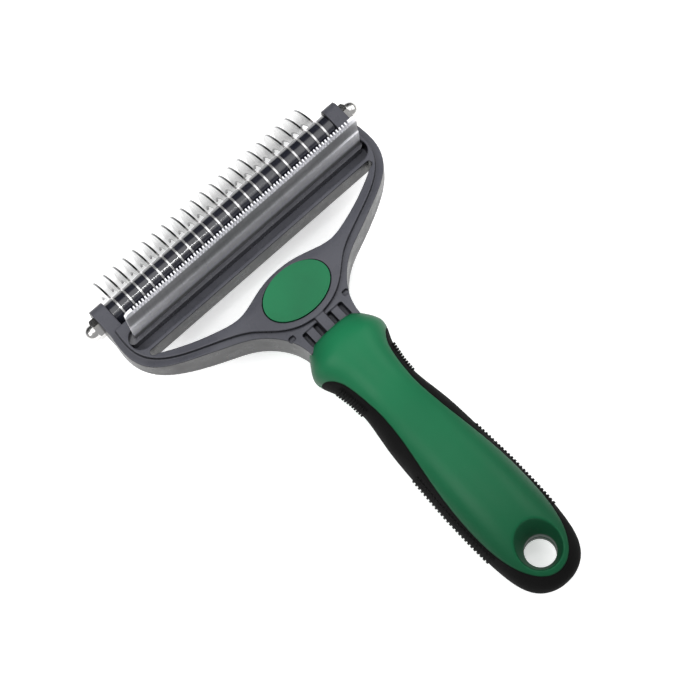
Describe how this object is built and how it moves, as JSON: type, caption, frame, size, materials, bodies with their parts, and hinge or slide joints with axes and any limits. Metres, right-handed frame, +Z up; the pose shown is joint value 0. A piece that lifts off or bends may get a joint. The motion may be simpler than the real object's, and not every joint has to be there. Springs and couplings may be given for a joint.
{
  "type": "pet deshedding tool",
  "caption": "Double-sided pet deshedding tool: sickle rake blades on an axle, fine-toothed comb blade, open Y-shaped head frame, oval plaque and ribbed handle with a hanging hole.",
  "frame": {"origin": "centre of the bounding box's bottom face, on the surface the tool lies on", "axes": "+Y from the handle's end towards the head, +X along the rake axle to the right seen from the comb side, +Z up, comb side up; the tool rests on its rake tips and the back of its handle"},
  "size_m": [0.098, 0.1503, 0.0404],
  "materials": {
    "abs_grey": "dark grey moulded ABS, satin gloss",
    "holder_grey": "dark moulded plastic",
    "comb_steel": "polished stainless steel",
    "rake_steel": "polished stainless steel",
    "nut_steel": "plated steel",
    "spacer_black": "dark glossy plastic sleeve",
    "green_plastic": "green satin plastic",
    "grip_black": "soft black ribbed rubber",
    "core_black": "hidden black plastic core"
  },
  "bodies": {
    "root": {"head_frame": "abs_grey", "comb_holder": "holder_grey", "comb_blade": "comb_steel", "axle": "nut_steel", "nut_left": "nut_steel", "nut_right": "nut_steel", "plaque_front": "green_plastic", "plaque_rear": "green_plastic", "handle_core": "core_black", "handle_front": "green_plastic", "handle_rear": "green_plastic", "grip_left": "grip_black", "grip_right": "grip_black", "rake_blade_01": "rake_steel", "rake_blade_02": "rake_steel", "rake_blade_03": "rake_steel", "rake_blade_04": "rake_steel", "rake_blade_05": "rake_steel", "rake_blade_06": "rake_steel", "rake_blade_07": "rake_steel", "rake_blade_08": "rake_steel", "rake_blade_09": "rake_steel", "rake_blade_10": "rake_steel", "rake_blade_11": "rake_steel", "rake_blade_12": "rake_steel", "rake_blade_13": "rake_steel", "rake_blade_14": "rake_steel", "rake_blade_15": "rake_steel", "rake_blade_16": "rake_steel", "rake_blade_17": "rake_steel", "rake_blade_18": "rake_steel", "rake_blade_19": "rake_steel", "rake_blade_20": "rake_steel", "rake_blade_21": "rake_steel", "rake_blade_22": "rake_steel", "spacer_01": "spacer_black", "spacer_02": "spacer_black", "spacer_03": "spacer_black", "spacer_04": "spacer_black", "spacer_05": "spacer_black", "spacer_06": "spacer_black", "spacer_07": "spacer_black", "spacer_08": "spacer_black", "spacer_09": "spacer_black", "spacer_10": "spacer_black", "spacer_11": "spacer_black", "spacer_12": "spacer_black", "spacer_13": "spacer_black", "spacer_14": "spacer_black", "spacer_15": "spacer_black", "spacer_16": "spacer_black", "spacer_17": "spacer_black", "spacer_18": "spacer_black", "spacer_19": "spacer_black", "spacer_20": "spacer_black", "spacer_21": "spacer_black", "spacer_22": "spacer_black", "spacer_23": "spacer_black"}
  },
  "joints": []
}
